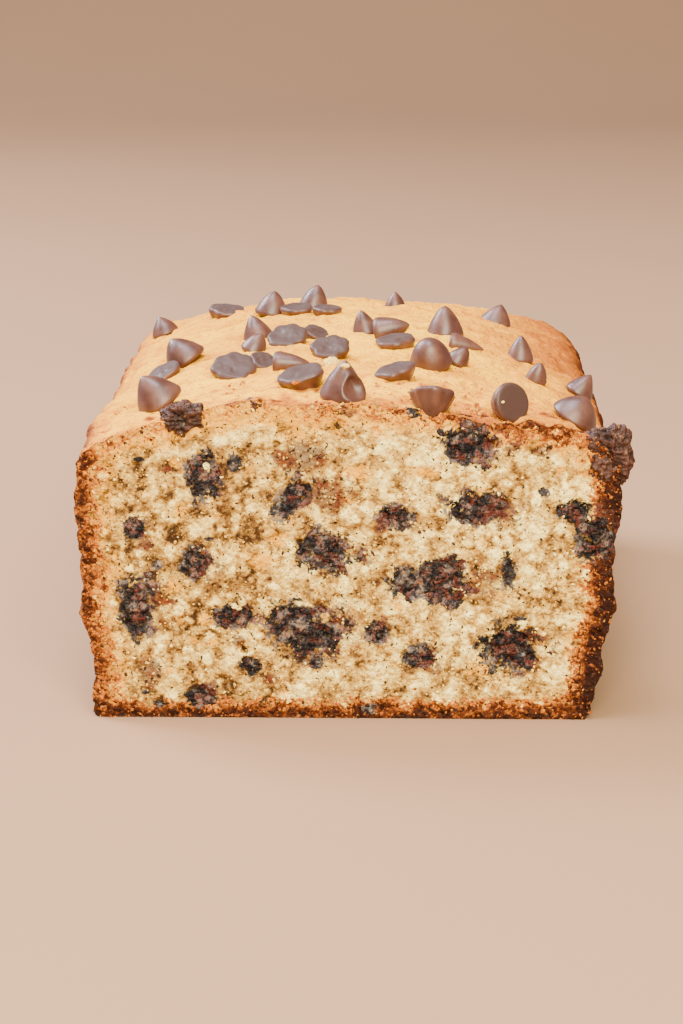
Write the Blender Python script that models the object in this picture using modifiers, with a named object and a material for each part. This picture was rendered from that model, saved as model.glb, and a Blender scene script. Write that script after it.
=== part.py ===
# A chocolate chip pound cake, baked in a loaf tin and cut at one end.
# Metres, +Z up. The cut face looks along -Y, the loaf runs along +Y and rests on z = 0.
import math
from collections import namedtuple

import bmesh
import bpy
from mathutils import Vector, noise

# The loaf: width at the rim of the tin, width at the foot, heights at the shoulder and the crown.
length = 0.1850
top_width = 0.1190
foot_width = 0.1080
shoulder_height = 0.0590
crown_height = 0.0720
widest_height = 0.0500
rear_lean = 0.0060
rear_corner_radius = 0.0280
shoulder_radius = 0.0028
foot_radius = 0.0020
crown_swell = 0.0020
gap = 0.0003
# The crown: how squarely it turns down at the sides, where along the loaf it starts to fall, and by how much.
crown_power = 2.6
fall_start = 0.55
fall_share = 0.80
# Lumps of chocolate: how uneven they are, and what share of their depth puts their middle behind the cut.
lump_swell = 0.28
lump_behind = 0.36
# Moves the whole cake so that its box stands centred over the origin.
settle = (-0.0012, 0.0009, 0.0)

# Grid of the loaf's six sides before they are shaped.
cells_across = 28
cells_along = 20
cells_up = 13

# Crags of the crust: where they stand on the side walls (x sign, y from the cut, z), reach and spread.
crags = [
    (-1, 0.002, 0.048, 0.0016, 0.0030),
    (-1, 0.003, 0.023, 0.0020, 0.0028),
    (-1, 0.000, 0.004, 0.0018, 0.0035),
    (1, 0.002, 0.025, 0.0018, 0.0028),
    (1, 0.003, 0.050, 0.0010, 0.0030),
    (-1, 0.040, 0.040, 0.0010, 0.0060),
    (1, 0.055, 0.045, 0.0010, 0.0060),
]
# Hollows and swells of the crown along the cut edge: x, y from the cut, height, spread in x, spread in y.
edge_waves = [
    (0.0270, 0.000, -0.0018, 0.0090, 0.0060),
    (0.0480, 0.004, 0.0016, 0.0070, 0.0200),
    (-0.0210, 0.000, 0.0010, 0.0050, 0.0080),
    (-0.0120, 0.000, -0.0010, 0.0045, 0.0050),
    (-0.0570, 0.024, 0.0030, 0.0060, 0.0180),
]

# The view in which the chips' places were read off: the eye, how far it looks down and to the left (degrees),
# and its focal length and middle in pixels of a frame 683 wide and 1024 high.
eye = (0.0112, -0.6844, 0.1899)
look_down = 13.5
look_left = 1.2
focal_pixels = 2750.0
frame_middle = (341.5, 512.0)
sight_steps = 740

# A chip on the crust: the pixel at the middle of what shows of it, the direction of its tip, and, in
# millimetres, its diameter, its height and how far it is sunk.
Chip = namedtuple("Chip", "seen tip diameter height sunk")
top_chips = [
    Chip((160, 392), (-0.55, -0.10, 0.80), 11.4, 8.0, 2.2),
    Chip((186, 352), (-0.58, 0.00, 0.78), 10.4, 7.0, 2.4),
    Chip((163, 370), (0.45, 0.20, -0.85), 9.4, 6.0, 3.4),
    Chip((165, 325), (-0.35, 0.00, 0.92), 7.6, 5.0, 1.6),
    Chip((227, 310), (-0.10, 0.10, -0.98), 10.4, 6.4, 4.6),
    Chip((258, 326), (-0.30, 0.10, 0.93), 8.0, 6.4, 2.0),
    Chip((272, 302), (0.15, 0.00, 0.97), 9.0, 6.4, 1.2),
    Chip((314, 296), (0.20, 0.00, 0.96), 7.8, 6.4, 1.2),
    Chip((297, 309), (0.05, 0.08, -0.99), 9.0, 6.0, 4.2),
    Chip((327, 310), (-0.05, 0.05, -0.99), 8.0, 5.6, 3.9),
    Chip((288, 335), (0.12, 0.42, -0.89), 10.4, 6.6, 3.2),
    Chip((316, 332), (-0.30, 0.25, -0.90), 7.2, 5.2, 3.0),
    Chip((253, 343), (0.45, 0.00, 0.85), 6.6, 5.4, 1.6),
    Chip((233, 365), (0.05, 0.46, -0.88), 11.2, 6.6, 3.0),
    Chip((264, 360), (-0.25, 0.34, -0.88), 7.4, 5.6, 3.4),
    Chip((292, 360), (0.93, -0.15, 0.02), 6.2, 8.4, 2.0),
    Chip((330, 346), (0.08, 0.42, -0.90), 9.6, 6.2, 3.0),
    Chip((300, 376), (0.26, 0.14, -0.955), 11.6, 6.6, 3.0),
    Chip((343, 379), (0.06, -0.15, 0.98), 10.6, 9.0, 0.8),
    Chip((366, 322), (-0.25, 0.00, 0.96), 7.4, 6.4, 1.2),
    Chip((391, 328), (0.88, -0.15, 0.25), 7.6, 8.4, 2.0),
    Chip((396, 342), (0.12, 0.08, -0.98), 10.6, 6.4, 3.8),
    Chip((395, 299), (0.00, 0.00, 1.00), 6.0, 5.0, 1.0),
    Chip((445, 320), (0.00, 0.05, 1.00), 9.2, 7.8, 1.0),
    Chip((466, 341), (0.93, -0.10, -0.15), 5.8, 8.4, 1.8),
    Chip((431, 352), (-0.15, -0.30, 0.94), 10.2, 7.2, 1.6),
    Chip((457, 356), (0.55, 0.00, 0.83), 5.8, 4.8, 1.4),
    Chip((395, 370), (0.25, 0.12, -0.95), 9.8, 6.0, 3.4),
    Chip((433, 396), (-0.06, -0.44, -0.90), 10.4, 6.4, 1.8),
    Chip((496, 313), (0.30, 0.00, 0.95), 8.4, 5.4, 1.8),
    Chip((520, 347), (0.05, 0.00, 1.00), 7.0, 6.6, 1.0),
    Chip((536, 372), (0.25, -0.20, 0.93), 5.4, 5.0, 0.8),
    Chip((579, 386), (0.55, 0.00, 0.83), 7.2, 5.8, 1.2),
    Chip((511, 400), (-0.58, 0.76, -0.28), 9.4, 7.0, 1.2),
    Chip((575, 411), (0.50, -0.12, 0.86), 11.0, 5.8, 1.4),
]

# Rough chocolate laid bare by the knife: the pixel at its middle on the cut, width, height and depth (mm).
CutChip = namedtuple("CutChip", "seen width height depth")
cut_chips = [
    CutChip((205, 479), 7.5, 12.5, 6.0),
    CutChip((134, 529), 4.5, 5.0, 4.5),
    CutChip((194, 565), 7.0, 8.0, 6.0),
    CutChip((138, 610), 8.5, 14.0, 6.0),
    CutChip((236, 615), 8.5, 6.0, 5.0),
    CutChip((304, 628), 17.0, 13.0, 7.0),
    CutChip((252, 666), 5.5, 4.5, 4.5),
    CutChip((199, 694), 7.0, 4.5, 4.5),
    CutChip((328, 552), 12.0, 8.5, 6.0),
    CutChip((294, 496), 7.5, 8.0, 5.5),
    CutChip((396, 519), 7.5, 6.0, 5.0),
    CutChip((468, 448), 11.0, 10.0, 6.0),
    CutChip((483, 509), 13.5, 7.5, 5.5),
    CutChip((435, 582), 17.0, 11.0, 7.0),
    CutChip((576, 510), 6.5, 5.5, 5.0),
    CutChip((379, 633), 6.5, 5.0, 5.0),
    CutChip((418, 656), 7.5, 5.5, 5.0),
    CutChip((511, 649), 12.0, 10.5, 6.5),
    CutChip((593, 540), 8.5, 9.5, 7.5),
]

# Broken chunks on the cut edge: node, the pixel at the middle, how far behind the cut, and the sizes (mm).
Chunk = namedtuple("Chunk", "node seen behind width depth height")
chunks = [
    Chunk("corner_chunk", (606, 455), 3.0, 10.5, 8.5, 12.5),
    Chunk("edge_chunk", (185, 419), 2.5, 10.5, 7.5, 7.5),
    Chunk("edge_flake", (253, 407), 2.0, 5.0, 4.5, 3.5),
]


def clamp(value, low=0.0, high=1.0):
    return max(low, min(high, value))


# Half the loaf's width at height z: it leans out from the foot and turns upright below the rim.
def half_width(z):
    return 0.5 * (foot_width + (top_width - foot_width) * math.sin(0.5 * math.pi * clamp(z / widest_height)))


# Height of the crown above the shoulder: flat-topped across, falling towards the far end.
def crown(x, y):
    across = 1.0 - clamp(abs(x) / (0.5 * top_width)) ** crown_power
    fall = clamp((y + (0.5 - fall_start) * length) / ((1.0 - fall_start) * length)) ** 3
    swell = crown_swell * math.sin(math.pi * clamp((y + 0.5 * length) / length))
    rise = (crown_height - shoulder_height) * (1.0 - fall_share * fall) + swell
    waves = 0.0
    for wave_x, wave_y, height, spread_x, spread_y in edge_waves:
        off = ((x - wave_x) / spread_x) ** 2 + ((y + 0.5 * length - wave_y) / spread_y) ** 2
        waves += height * math.exp(-0.5 * off)
    return across * rise + waves


# Plan of the loaf at a point: distance in from the side walls and the far end, and the way out.
def plan_edge(x, y):
    half_x, half_y, radius = 0.5 * top_width, 0.5 * length, rear_corner_radius
    side = 1.0 if x > 0 else -1.0
    over_x, over_y = abs(x) - (half_x - radius), y - (half_y - radius)
    if over_x > 0 and over_y > 0:
        reach = math.hypot(over_x, over_y)
        return radius - reach, side * over_x / reach, over_y / reach
    if half_x - abs(x) < half_y - y:
        return half_x - abs(x), side, 0.0
    return half_y - y, 0.0, 1.0


# Height of the crust over a point of the plan, with the shoulder's rounding.
def crust_height(x, y):
    edge = clamp(plan_edge(x, y)[0], 0.0, shoulder_radius)
    drop = shoulder_radius - math.sqrt(shoulder_radius ** 2 - (shoulder_radius - edge) ** 2)
    return shoulder_height + crown(x, y) - drop


# A point of the shaped loaf from a point of the cube, each coordinate from -1 to 1.
def loaf_point(u, v, w):
    half_x, half_y, radius = 0.5 * top_width, 0.5 * length, rear_corner_radius
    x = half_x * (0.55 * u + 0.45 * math.sin(0.5 * math.pi * u))
    y = half_y * (0.65 * v + 0.35 * math.sin(0.5 * math.pi * v))
    z = shoulder_height * (0.5 + 0.5 * (0.6 * w + 0.4 * math.sin(0.5 * math.pi * w)))
    over_x, over_y = abs(x) - (half_x - radius), y - (half_y - radius)
    if over_x > 0 and over_y > 0:
        pull = max(over_x, over_y) / math.hypot(over_x, over_y)
        x = math.copysign(half_x - radius + over_x * pull, x)
        y = half_y - radius + over_y * pull
    edge, out_x, out_y = plan_edge(x, y)
    over_shoulder = z - (shoulder_height - shoulder_radius)
    for radius, rise, upward in ((shoulder_radius, over_shoulder, 1.0), (foot_radius, foot_radius - z, -1.0)):
        inward = radius - edge
        if inward > 0 and rise > 0:
            pull = max(inward, rise) / math.hypot(inward, rise)
            x -= out_x * inward * (1.0 - pull)
            y -= out_y * inward * (1.0 - pull)
            z += rise * (pull - 1.0) * upward
    lift = clamp(z / shoulder_height) ** 3
    top = z + crown(x, y) * lift
    x *= half_width(z) / half_x
    if y > 0:
        y -= rear_lean * (1.0 - z / shoulder_height) * y / half_y
    return Vector((x, y, top))


# Relief of the crust and of the cut crumb at a point, measured outwards.
def relief(point, on_cut):
    coarse = noise.noise(point * 95.0) * 0.0007
    fine = noise.noise(point * 230.0 + Vector((3.1, 7.7, 1.3))) * 0.0005
    bump = (coarse + fine) * (0.4 if on_cut else 1.0)
    if not on_cut:
        for side, from_cut, height, reach, spread in crags:
            if point.x * side > 0:
                off = (point.y + 0.5 * length - from_cut) ** 2 + (point.z - height) ** 2
                bump += reach * math.exp(-0.5 * off / spread ** 2)
    return bump


def make_material(name, colour, roughness):
    material = bpy.data.materials.new(name)
    material.use_nodes = True
    shader = next(node for node in material.node_tree.nodes if node.type == "BSDF_PRINCIPLED")
    shader.inputs["Base Color"].default_value = (*colour, 1.0)
    shader.inputs["Roughness"].default_value = roughness
    shader.inputs["Metallic"].default_value = 0.0
    return material


def add_object(name, mesh, collection, colour=None, roughness=0.5):
    item = bpy.data.objects.new(name, mesh)
    collection.objects.link(item)
    if colour is None:
        item.hide_render = True
        item.display_type = "WIRE"
    else:
        item.data.materials.append(make_material(name + "_look", colour, roughness))
    return item


# The loaf: a cube cut into a grid, shaped point by point, then roughened along its normals.
def make_loaf(collection):
    grid = bmesh.new()
    bmesh.ops.create_cube(grid, size=2.0)
    for axis, cells in ((0, cells_across), (1, cells_along), (2, cells_up)):
        along = [edge for edge in grid.edges
                 if abs(edge.verts[0].co[axis] - edge.verts[1].co[axis]) > 1.0]
        bmesh.ops.subdivide_edges(grid, edges=along, cuts=cells - 1, use_grid_fill=True)
    on_front = {vert for vert in grid.verts if vert.co.y < -0.999}
    on_floor = {vert for vert in grid.verts if vert.co.z < -0.999}
    for vert in grid.verts:
        vert.co = loaf_point(*vert.co)
    grid.normal_update()
    moves = []
    for vert in grid.verts:
        side_wall = abs(vert.normal.x) > 0.35 or abs(vert.normal.z) > 0.35
        push = vert.normal * relief(vert.co, vert in on_front and not side_wall)
        if vert in on_floor:
            push.z = 0.0
        moves.append(push)
    for vert, push in zip(grid.verts, moves):
        vert.co += push
        if vert in on_floor:
            vert.co.z = 0.0
    grid.normal_update()
    floor = [face for face in grid.faces if all(vert in on_floor for vert in face.verts)]
    inner = {edge for face in floor for edge in face.edges
             if all(other in floor for other in edge.link_faces)}
    bmesh.ops.dissolve_edges(grid, edges=list(inner), use_verts=True)
    mesh = bpy.data.meshes.new("loaf")
    grid.to_mesh(mesh)
    grid.free()
    mesh.shade_smooth()
    mesh.set_sharp_from_angle(angle=math.radians(50))
    return add_object("loaf", mesh, collection, (0.62, 0.38, 0.16), 0.85)


# Outline of a chip from its tip to the middle of its base, grown outwards for its pocket.
def chip_profile(diameter, height, grow):
    radius = 0.5 * diameter
    return [
        (0.0, height + grow),
        (0.22 * radius + 0.9 * grow, 0.86 * height + 0.6 * grow),
        (0.64 * radius + grow, 0.52 * height + 0.5 * grow),
        (1.00 * radius + grow, 0.14 * height),
        (0.95 * radius + grow, -grow),
        (0.0, -grow),
    ]


def make_chip(name, collection, diameter, height, place, turn, grow=0.0):
    outline = chip_profile(diameter, height, grow)
    mesh = bpy.data.meshes.new(name)
    mesh.from_pydata([(radius, 0.0, z) for radius, z in outline],
                     [(i, i + 1) for i in range(len(outline) - 1)], [])
    item = add_object(name, mesh, collection, None if grow else (0.13, 0.055, 0.03), 0.38)
    item.location = place
    item.rotation_mode = "QUATERNION"
    item.rotation_quaternion = turn
    screw = item.modifiers.new("turned", "SCREW")
    screw.steps = 9
    screw.render_steps = 9
    screw.use_merge_vertices = True
    screw.merge_threshold = 0.00001
    screw.use_normal_calculate = False
    screw.use_smooth_shade = True
    return item


# The direction in which a pixel is seen.
def line_of_sight(pixel):
    turn, pitch = math.radians(look_left), math.radians(look_down)
    forward = Vector((-math.sin(turn) * math.cos(pitch), math.cos(turn) * math.cos(pitch), -math.sin(pitch)))
    right = Vector((math.cos(turn), math.sin(turn), 0.0))
    across, rise = pixel[0] - frame_middle[0], frame_middle[1] - pixel[1]
    return forward + (right * across + right.cross(forward) * rise) / focal_pixels


# The point that a pixel shows on the plane some way behind the cut.
def point_behind_cut(pixel, behind):
    line = line_of_sight(pixel)
    return Vector(eye) + line * ((behind - 0.5 * length - eye[1]) / line.y)


# The first point along a pixel's line of sight that is within a height of the crust, or else the nearest one.
def point_over_crust(pixel, height):
    points = [point_behind_cut(pixel, length * step / sight_steps) for step in range(sight_steps + 1)]
    above = [point.z - crust_height(point.x, point.y) - height for point in points]
    reached = [point for point, rise in zip(points, above) if rise <= 0.0]
    return reached[0] if reached else points[above.index(min(above))]


# Lowest and highest corner of a turned outline whose axis leans, from the middle of its base.
def turned_box(outline, axis):
    lean = [math.sqrt(max(0.0, 1.0 - part ** 2)) for part in axis]
    low = Vector([min(axis[k] * z - lean[k] * radius for radius, z in outline) for k in range(3)])
    high = Vector([max(axis[k] * z + lean[k] * radius for radius, z in outline) for k in range(3)])
    return low, high


# Each chip stands where its middle is seen, with the lowest point of its turned outline sunk under the crust.
def place_chips(collection, pockets):
    for index, chip in enumerate(top_chips, 1):
        diameter, height, sunk = 0.001 * chip.diameter, 0.001 * chip.height, 0.001 * chip.sunk
        axis = Vector(chip.tip).normalized()
        turn = Vector((0, 0, 1)).rotation_difference(axis)
        low, high = turned_box(chip_profile(diameter, height, 0.0), axis)
        middle = point_over_crust(chip.seen, 0.5 * (high.z - low.z - sunk))
        foot = Vector((middle.x, middle.y, crust_height(middle.x, middle.y) - sunk))
        place = foot - Vector((0.5 * (low.x + high.x), 0.5 * (low.y + high.y), low.z))
        make_chip("top_chip_%02d" % index, collection, diameter, height, place, turn)
        make_chip("pocket_%02d" % index, pockets, diameter, height, place, turn, gap)


# A rough lump of chocolate: a ball scaled to the three sizes and pushed in and out.
def make_lump(name, collection, centre, sizes, colour, grow=0.0):
    ball = bmesh.new()
    bmesh.ops.create_icosphere(ball, subdivisions=2, radius=1.0)
    half = Vector(sizes) * 0.5
    for vert in ball.verts:
        swell = 1.0 + lump_swell * noise.noise(vert.co * 1.7 + centre * 400.0)
        body = Vector((vert.co.x * half.x, vert.co.y * half.y, vert.co.z * half.z)) * swell
        vert.co = centre + body + vert.co * grow
    mesh = bpy.data.meshes.new(name)
    ball.to_mesh(mesh)
    ball.free()
    mesh.shade_smooth()
    return add_object(name, mesh, collection, colour, 0.7)


# The cut chips are seen on the cut itself, and their middles lie behind it.
def place_lumps(collection, pockets):
    for index, chip in enumerate(cut_chips, 1):
        sizes = 0.001 * Vector((chip.width, chip.depth, chip.height))
        centre = point_behind_cut(chip.seen, 0.0) + Vector((0.0, lump_behind * sizes.y, 0.0))
        make_lump("cut_chip_%02d" % index, collection, centre, sizes, (0.07, 0.035, 0.028))
        make_lump("cut_pocket_%02d" % index, pockets, centre, sizes, None, 1.3 * gap)
    for chunk in chunks:
        sizes = 0.001 * Vector((chunk.width, chunk.depth, chunk.height))
        centre = point_behind_cut(chunk.seen, 0.001 * chunk.behind)
        make_lump(chunk.node, collection, centre, sizes, (0.10, 0.045, 0.032))
        make_lump(chunk.node + "_pocket", pockets, centre, sizes, None, 1.3 * gap)


def build():
    for item in list(bpy.data.objects):
        bpy.data.objects.remove(item, do_unlink=True)
    cake = bpy.data.collections.new("pound_cake")
    pockets = bpy.data.collections.new("pockets")
    bpy.context.scene.collection.children.link(cake)
    bpy.context.scene.collection.children.link(pockets)
    loaf = make_loaf(cake)
    place_chips(cake, pockets)
    place_lumps(cake, pockets)
    for item in list(cake.objects) + list(pockets.objects):
        item.location += Vector(settle)
    cut = loaf.modifiers.new("pockets", "BOOLEAN")
    cut.operation = "DIFFERENCE"
    cut.operand_type = "COLLECTION"
    cut.collection = pockets
    cut.solver = "EXACT"


build()
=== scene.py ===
import math
from functools import partial

import bmesh
import bpy
import numpy as np
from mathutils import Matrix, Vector


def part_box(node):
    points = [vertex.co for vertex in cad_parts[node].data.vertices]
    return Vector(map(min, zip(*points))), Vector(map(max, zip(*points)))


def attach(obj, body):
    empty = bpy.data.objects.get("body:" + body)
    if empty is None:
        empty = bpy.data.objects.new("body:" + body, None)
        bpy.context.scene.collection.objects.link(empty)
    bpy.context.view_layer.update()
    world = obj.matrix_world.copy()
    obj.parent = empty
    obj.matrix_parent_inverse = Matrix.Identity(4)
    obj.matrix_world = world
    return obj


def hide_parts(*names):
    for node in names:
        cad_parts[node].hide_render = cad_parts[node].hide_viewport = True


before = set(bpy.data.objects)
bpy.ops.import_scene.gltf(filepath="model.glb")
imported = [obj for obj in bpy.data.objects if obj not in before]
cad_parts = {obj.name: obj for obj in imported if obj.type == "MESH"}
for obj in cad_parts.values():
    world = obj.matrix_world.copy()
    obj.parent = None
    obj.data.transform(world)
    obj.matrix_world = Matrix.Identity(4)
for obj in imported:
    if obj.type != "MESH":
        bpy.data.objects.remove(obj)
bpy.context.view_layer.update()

print("frame loaded, chocolate chip pound cake")

# Seen from a little above and slightly to the right of the cut face.
view = {"place": (0.0100, -0.6835, 0.1899), "pitch": 13.5, "turn": 1.2, "lens": 96.7}

cameraData = bpy.data.cameras.new("photoCamera")
cameraData.lens = view["lens"]
cameraData.clip_start = 0.01
camera = bpy.data.objects.new("photoCamera", cameraData)
camera.location = view["place"]
camera.rotation_euler = (math.radians(90 - view["pitch"]), 0, math.radians(view["turn"]))
bpy.context.scene.collection.objects.link(camera)
bpy.context.scene.camera = camera


# Turns an sRGB hex colour into the linear values that Blender's sockets take.
def hexColour(code, alpha=1.0):
    channels = [int(code[i:i + 2], 16) / 255 for i in (0, 2, 4)]
    return [c / 12.92 if c <= 0.04045 else ((c + 0.055) / 1.055) ** 2.4 for c in channels] + [alpha]


# A random number from 0 to 1 for each cell of a lattice, from its three whole coordinates and a seed.
def cellRandom(i, j, k, seed):
    mixed = (i.astype(np.uint64) * np.uint64(374761393) + j.astype(np.uint64) * np.uint64(668265263)
             + k.astype(np.uint64) * np.uint64(2246822519) + np.uint64(seed * 97531 + 17))
    mixed = (mixed ^ (mixed >> np.uint64(13))) * np.uint64(1274126177)
    mixed = (mixed ^ (mixed >> np.uint64(29))) * np.uint64(2654435761)
    return ((mixed >> np.uint64(17)) & np.uint64(0xFFFFF)) / float(0xFFFFF)


# Smooth noise from -1 to 1: random values at the corners of cells, blended by 3t^2 - 2t^3 along each axis.
def smoothNoise(points, size, seed):
    scaled = points / size + 500.0
    cell = np.floor(scaled).astype(np.int64)
    t = scaled - cell
    t = t * t * (3 - 2 * t)
    total = np.zeros(points.shape[:-1])
    for a in (0, 1):
        for b in (0, 1):
            for c in (0, 1):
                weight = np.abs(1 - a - t[..., 0]) * np.abs(1 - b - t[..., 1]) * np.abs(1 - c - t[..., 2])
                total += weight * cellRandom(cell[..., 0] + a, cell[..., 1] + b, cell[..., 2] + c, seed)
    return 2 * total - 1


# Sum of smooth noises, each half the size and half the height of the one before.
def layeredNoise(points, size, layers, seed):
    total, weight = 0.0, 1.0
    for layer in range(layers):
        total = total + weight * smoothNoise(points, size / 2 ** layer, seed + 31 * layer)
        weight *= 0.5
    return total / (2 - 2 * weight)


# One seed point in each cell: the distance to the nearest one, in cells, and that one's own number.
def cellNoise(points, size, seed):
    scaled = points / size + 500.0
    cell = np.floor(scaled).astype(np.int64)
    near = np.full(points.shape[:-1], 9.0)
    number = np.zeros(points.shape[:-1])
    for a in (-1, 0, 1):
        for b in (-1, 0, 1):
            for c in (-1, 0, 1):
                i, j, k = cell[..., 0] + a, cell[..., 1] + b, cell[..., 2] + c
                away = ((i + cellRandom(i, j, k, seed) - scaled[..., 0]) ** 2
                        + (j + cellRandom(i, j, k, seed + 1) - scaled[..., 1]) ** 2
                        + (k + cellRandom(i, j, k, seed + 2) - scaled[..., 2]) ** 2) ** 0.5
                closer = away < near
                number = np.where(closer, cellRandom(i, j, k, seed + 3), number)
                near = np.where(closer, away, near)
    return near, number


# Rounded lumps, one to a cell, each with a height of its own: (0.35 + 0.65 number) (1 - steep near^2).
def cellLumps(points, size, seed, steep):
    near, number = cellNoise(points, size, seed)
    return (0.35 + 0.65 * number) * np.clip(1 - steep * near ** 2, -0.5, 1)


# Open pores in some of the cells: 1 - (distance / radius)^2, where the radius is least + more chance^power.
def openPores(points, size, seed, least, more, power, closed):
    near, chance = cellNoise(points, size, seed)
    radius = least + more * chance ** power
    return np.clip(1 - (near * size / radius) ** 2, 0, 1) * (chance > closed)


def smoothStep(low, high, value):
    t = np.clip((value - low) / (high - low), 0, 1)
    return t * t * (3 - 2 * t)


# Stacks three arrays or numbers into points.
def pointArray(x, y, z):
    return np.stack(np.broadcast_arrays(x, y, z), axis=-1).astype(float)


# Quads between neighbours of a grid of rows and columns, closed round the columns where asked.
def gridFaces(rows, columns, closed=False, flip=False):
    i, j = np.meshgrid(np.arange(rows - 1), np.arange(columns if closed else columns - 1), indexing="ij")
    right = (j + 1) % columns
    below, above = i * columns, (i + 1) * columns
    quads = np.stack([below + j, below + right, above + right, above + j], -1).reshape(-1, 4)
    return quads[:, ::-1] if flip else quads


# Puts points and faces into a mesh, welds seams and poles, and rides the piece on the cake's body.
def addPiece(name, points, faces, material, nodes=(), marks=None, weld=0.0, smooth=True):
    points = np.asarray(points, dtype=np.float32).reshape(-1, 3)
    faces = np.asarray(faces, dtype=np.int32)
    sides = faces.shape[1]
    mesh = bpy.data.meshes.new(name)
    mesh.vertices.add(len(points))
    mesh.vertices.foreach_set("co", points.ravel())
    mesh.loops.add(faces.size)
    mesh.loops.foreach_set("vertex_index", faces.ravel())
    mesh.polygons.add(len(faces))
    mesh.polygons.foreach_set("loop_start", np.arange(0, faces.size, sides, dtype=np.int32))
    for mark, values in (marks or {}).items():
        attribute = mesh.attributes.new(mark, "FLOAT", "POINT")
        attribute.data.foreach_set("value", np.ravel(values).astype(np.float32))
    mesh.update(calc_edges=True)
    mesh.validate()
    if weld:
        welded = bmesh.new()
        welded.from_mesh(mesh)
        bmesh.ops.remove_doubles(welded, verts=welded.verts, dist=weld)
        welded.to_mesh(mesh)
        welded.free()
    mesh.polygons.foreach_set("use_smooth", np.full(len(mesh.polygons), smooth))
    mesh.materials.append(material)
    piece = bpy.data.objects.new(name, mesh)
    bpy.context.scene.collection.objects.link(piece)
    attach(piece, "root")
    if nodes:
        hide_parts(*nodes)
    return piece


# Adds a shader node: sets its sockets and properties, links the sockets that are given another node's output,
# sets a colour ramp's stops, and gives back the output that is asked for.
def addNode(tree, kind, settings, output=0, stops=(), **properties):
    node = tree.nodes.new("ShaderNode" + kind)
    for name, value in properties.items():
        setattr(node, name, value)
    for socket, value in settings.items():
        if isinstance(value, bpy.types.NodeSocket):
            tree.links.new(value, node.inputs[socket])
        else:
            node.inputs[socket].default_value = value
    for index, (place, code) in enumerate(stops):
        elements = node.color_ramp.elements
        element = elements[index] if index < 2 else elements.new(place)
        element.position, element.color = place, hexColour(code)
    return None if output is None else node.outputs[output]


# An empty material, and the function that adds nodes to it.
def newMaterial(name):
    material = bpy.data.materials.new(name)
    material.use_nodes = True
    material.node_tree.nodes.clear()
    return material, partial(addNode, material.node_tree)


def finishMaterial(add, settings):
    add("OutputMaterial", {"Surface": add("BsdfPrincipled", settings)}, None)


# Noise of a real size in millimetres, its middle range stretched to 0..1.
def noiseFactor(add, millimetres, detail=3.0, low=0.35, high=0.65, offset=(0, 0, 0), roughness=0.5):
    moved = add("Mapping", {"Vector": add("TexCoord", {}, "Object"), "Location": offset})
    noise = add("TexNoise", {"Vector": moved, "Scale": 1000 / millimetres, "Detail": detail,
                             "Roughness": roughness}, "Fac")
    return add("MapRange", {"Value": noise, "From Min": low, "From Max": high})


# Irregular grains of a real size in millimetres: 1 - distance to the grain's middle, and each grain's tone.
def grainCells(add, millimetres, offset=(0, 0, 0)):
    where = add("TexCoord", {}, "Object")
    wobble = add("TexNoise", {"Vector": where, "Scale": 900 / millimetres, "Detail": 2.0}, "Color")
    reach = [0.0009 * millimetres] * 3
    moved = add("VectorMath", {0: wobble, 1: reach, 2: where}, operation="MULTIPLY_ADD")
    moved = add("Mapping", {"Vector": moved, "Location": offset})
    cells = add("TexVoronoi", {"Vector": moved, "Scale": 1000 / millimetres}).node
    height = add("Math", {0: 1.0, 1: cells.outputs["Distance"]}, operation="SUBTRACT")
    return height, add("SeparateColor", {0: cells.outputs["Color"]})


# Two sizes of grain together: the tone of each, their mean, and their relief with its heights in millimetres.
def twoGrains(add, coarse, fine, coarseHeight, fineHeight):
    coarseShape, coarseTone = grainCells(add, coarse)
    fineShape, fineTone = grainCells(add, fine, (0.4, 0.2, 0.3))
    normal = add("Bump", {"Height": coarseShape, "Distance": coarseHeight / 1000, "Strength": 0.6})
    normal = add("Bump", {"Height": fineShape, "Distance": fineHeight / 1000, "Strength": 0.6,
                          "Normal": normal})
    return coarseTone, fineTone, add("Mix", {0: 0.5, 2: coarseTone, 3: fineTone}), normal


# A mask broken up by grain where there is any of it: mask + reach (grain - 1/2), cut off at low and high.
def brokenMask(add, mask, grain, reach, low, high):
    present = add("MapRange", {"Value": mask, "From Min": 0.02, "From Max": 0.22})
    around = add("Math", {0: grain, 1: 0.5}, operation="SUBTRACT")
    around = add("Math", {0: around, 1: present}, operation="MULTIPLY")
    shifted = add("Math", {0: around, 1: reach, 2: mask}, operation="MULTIPLY_ADD")
    return add("MapRange", {"Value": shifted, "From Min": low, "From Max": high})


# Baked cake crust: sugars browned dry and matt, pale gold where it rose, red-brown against the tin. As in
# every Look here, grain sizes and bump heights are in millimetres.
crustLook = {"pale": "FFC212", "gold": "DE981A", "orange": "B2641A", "brown": "56280E", "dark": "260F07",
             "speck": "6A3212", "roughness": 0.66, "broad": 7.0, "coarse": 1.7, "fine": 0.8, "specks": 0.8,
             "coarseHeight": 0.6, "fineHeight": 0.35, "mottling": 0.85}


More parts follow.
